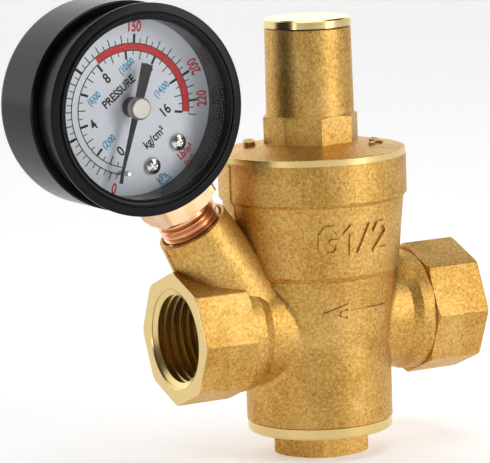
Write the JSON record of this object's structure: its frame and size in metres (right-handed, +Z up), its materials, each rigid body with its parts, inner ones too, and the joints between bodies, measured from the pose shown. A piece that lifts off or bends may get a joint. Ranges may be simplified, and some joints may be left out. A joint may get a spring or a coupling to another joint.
{
  "type": "pressure reducing valve",
  "caption": "Brass pressure reducing valve with threaded octagon ports in line, a tall adjusting bonnet, and a round dial gauge on a slanted side boss.",
  "frame": {"origin": "centre of the flat underside of the bottom plug's hexagon, which the valve stands on", "axes": "+Z up along the body, +X out of the inlet port, -X out of the outlet port, and the gauge faces -Y"},
  "size_m": [0.1022, 0.04, 0.1004],
  "materials": {
    "cast_brass": "sand-cast brass, fine blasted grain",
    "turned_brass": "turned bright brass",
    "copper_brass": "coppery bare brass with fine turning marks",
    "black_rubber": "moulded nitrile rubber",
    "plated_steel": "zinc plated steel",
    "spring_steel": "oiled spring steel",
    "black_gloss": "black gloss moulding",
    "clear_lens": "clear flat lens",
    "dial_white": "pale blue-white printed dial",
    "pointer_black": "matte black lacquer",
    "nickel": "nickel plated",
    "bronze": "phosphor bronze"
  },
  "bodies": {
    "housing": {"bonnet": "cast_brass", "bottom_plug": "cast_brass", "bottom_plug_seal": "black_rubber", "bourdon_tube": "bronze", "case_screws": "nickel", "dial_plate": "dial_white", "dial_screws": "nickel", "diaphragm": "black_rubber", "gauge_bezel": "black_gloss", "gauge_case": "black_gloss", "gauge_lens": "clear_lens", "gauge_stem": "copper_brass", "hairspring": "bronze", "lens_gasket": "black_rubber", "main_spring": "spring_steel", "movement_back_plate": "turned_brass", "movement_front_plate": "turned_brass", "movement_pillars": "turned_brass", "movement_screws": "nickel", "return_spring": "spring_steel", "seat_ring": "turned_brass", "slip_ring": "turned_brass", "valve_body": "cast_brass", "zero_stop_pin": "nickel"},
    "stem_group": {"valve_stem": "turned_brass", "upper_diaphragm_plate": "plated_steel", "lower_diaphragm_plate": "turned_brass", "stem_nut": "plated_steel", "disc_holder": "turned_brass", "seat_disc": "black_rubber", "disc_washer": "turned_brass"},
    "button": {"spring_button": "plated_steel"},
    "screw": {"adjusting_screw": "turned_brass"},
    "cap_seal": {"top_cap_seal": "black_rubber"},
    "cap": {"top_cap": "turned_brass"},
    "pointer_group": {"pointer": "pointer_black", "pointer_cap": "nickel", "pointer_arbor": "turned_brass"},
    "sector": {"sector_gear": "turned_brass"},
    "tip_group": {"bourdon_tip": "turned_brass", "tip_link": "turned_brass", "link_pins": "plated_steel"}
  },
  "joints": [
    {"name": "stem_slide", "type": "slide", "parent": "housing", "child": "stem_group", "axis": [0, 0, 1], "range_m": [0, 0.00245], "stiffness_N_per_m": 2000, "springref_m": -0.0005, "deforming": ["main_spring", "return_spring", "diaphragm"]},
    {"name": "screw_advance", "type": "slide", "parent": "housing", "child": "button", "axis": [0, 0, 1], "range_m": [-0.00075, 0.003], "deforming": ["main_spring"]},
    {"name": "screw_turn", "type": "hinge", "parent": "button", "child": "screw", "pos_m": [0, 0, 0.0765], "axis": [0, 0, 1], "range_deg": [-180.5, 720.5]},
    {"name": "cap_lift", "type": "slide", "parent": "housing", "child": "cap_seal", "axis": [0, 0, 1], "range_m": [0, 0.00375]},
    {"name": "cap_turn", "type": "hinge", "parent": "cap_seal", "child": "cap", "pos_m": [0, 0, 0.0911], "axis": [0, 0, 1], "range_deg": [0, 900.5]},
    {"name": "tip_slide", "type": "slide", "parent": "housing", "child": "tip_group", "axis": [-0.5195, 0, 0.8545], "range_m": [0, 0.00295], "stiffness_N_per_m": 60, "springref_m": -0.0006, "deforming": ["bourdon_tube"]},
    {"name": "pointer_turn", "type": "hinge", "parent": "housing", "child": "pointer_group", "pos_m": [-0.04589, 0, 0.07861], "axis": [0, 1, 0], "range_deg": [0, 270.1]},
    {"name": "sector_turn", "type": "hinge", "parent": "housing", "child": "sector", "pos_m": [-0.04069, 0, 0.07007], "axis": [0, 1, 0], "range_deg": [-30.1, 0]}
  ],
  "couplings": [
    {"joint": "screw_turn", "follows": "screw_advance", "rad_per_m": 4188.8},
    {"joint": "cap_turn", "follows": "cap_lift", "rad_per_m": 4188.8},
    {"joint": "pointer_turn", "follows": "tip_slide", "rad_per_m": 1598.8},
    {"joint": "sector_turn", "follows": "tip_slide", "rad_per_m": -177.65}
  ]
}
